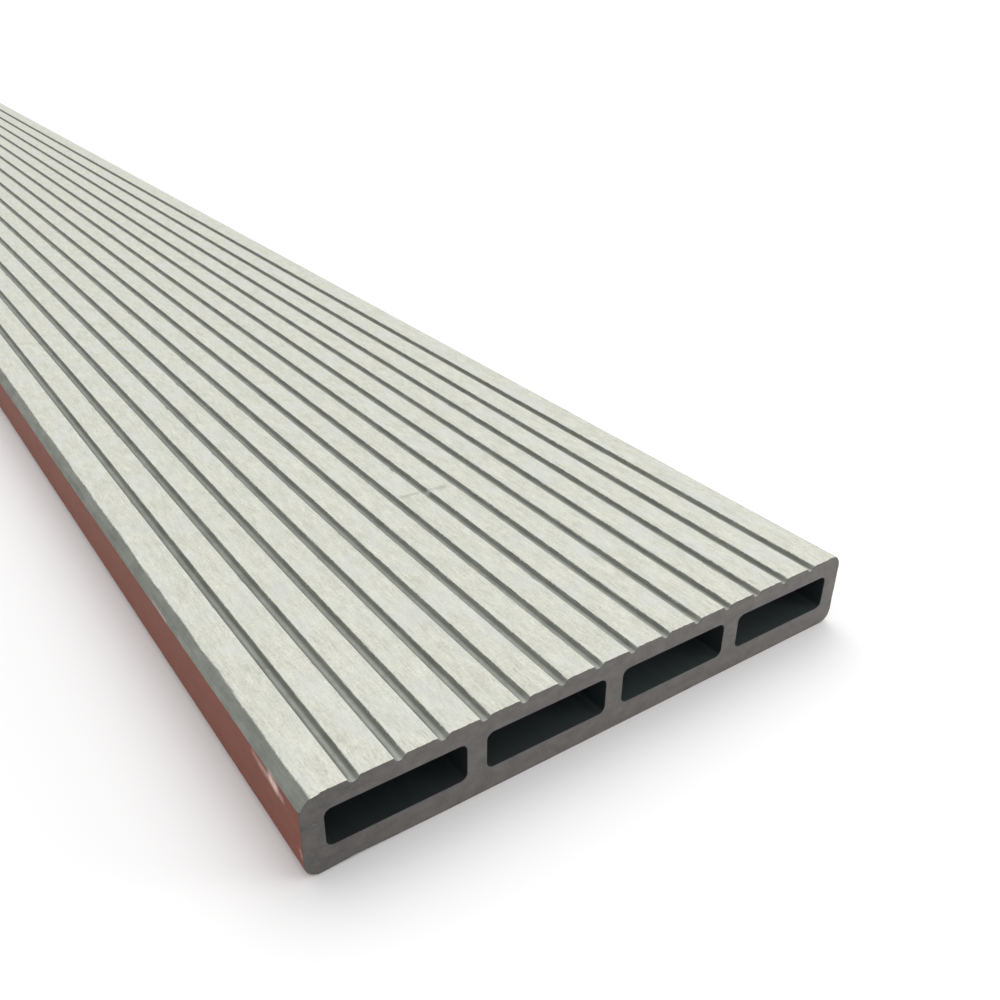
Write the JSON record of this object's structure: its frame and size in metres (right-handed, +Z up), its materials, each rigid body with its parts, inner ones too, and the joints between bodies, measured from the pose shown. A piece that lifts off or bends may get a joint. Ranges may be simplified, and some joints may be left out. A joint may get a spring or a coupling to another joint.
{
  "type": "composite fence board",
  "caption": "Hollow wood-plastic composite fence board with a grooved show face, rounded edges and open chambers along its length.",
  "frame": {"origin": "under the middle of the board, on the flat underside that it lies on", "axes": "+X across the width, +Y along the length, +Z up through the thickness towards the grooved face"},
  "size_m": [0.15, 1.8, 0.02],
  "materials": {
    "composite": "brushed, matt"
  },
  "bodies": {
    "root": {"fence_board": "composite"}
  },
  "joints": []
}
